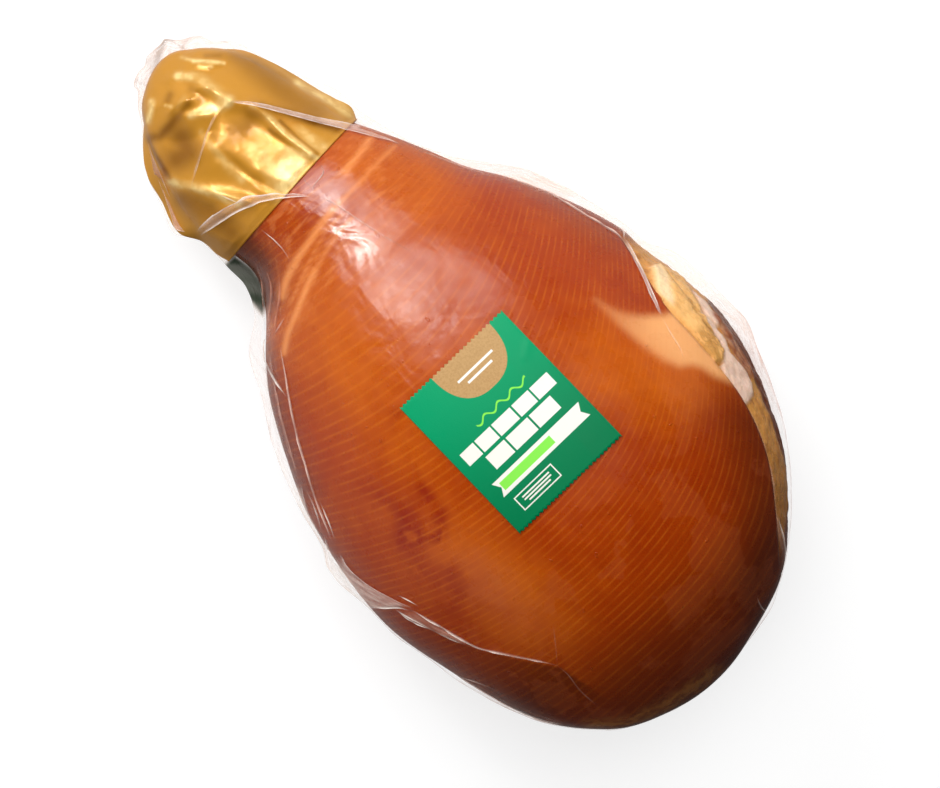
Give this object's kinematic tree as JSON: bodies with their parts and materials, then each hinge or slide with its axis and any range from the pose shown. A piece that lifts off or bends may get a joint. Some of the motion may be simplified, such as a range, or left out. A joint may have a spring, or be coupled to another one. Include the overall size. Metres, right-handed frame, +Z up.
{
  "type": "smoked ham",
  "caption": "Whole smoked leg of ham on the bone, lying in a clear vacuum bag with a gold cover over the shank and a paper label on the rind.",
  "frame": {"origin": "under the middle of the pack's box, on the surface it lies on", "axes": "+X from the shank to the butt, +Y towards the trimmed side, +Z up"},
  "size_m": [0.475, 0.268, 0.171],
  "materials": {
    "smoked_rind": "wet gloss under clear film, with fine light scoring lines and uneven smoke colour",
    "gold_foil": "satin gold metallised film with soft folds",
    "label_paper": "satin printed paper with pinked ends",
    "clear_film": "clear glossy vacuum film with fine creases"
  },
  "bodies": {
    "root": {"bagged_ham": "smoked_rind", "shank_cover": "gold_foil", "label": "label_paper"}
  },
  "joints": []
}
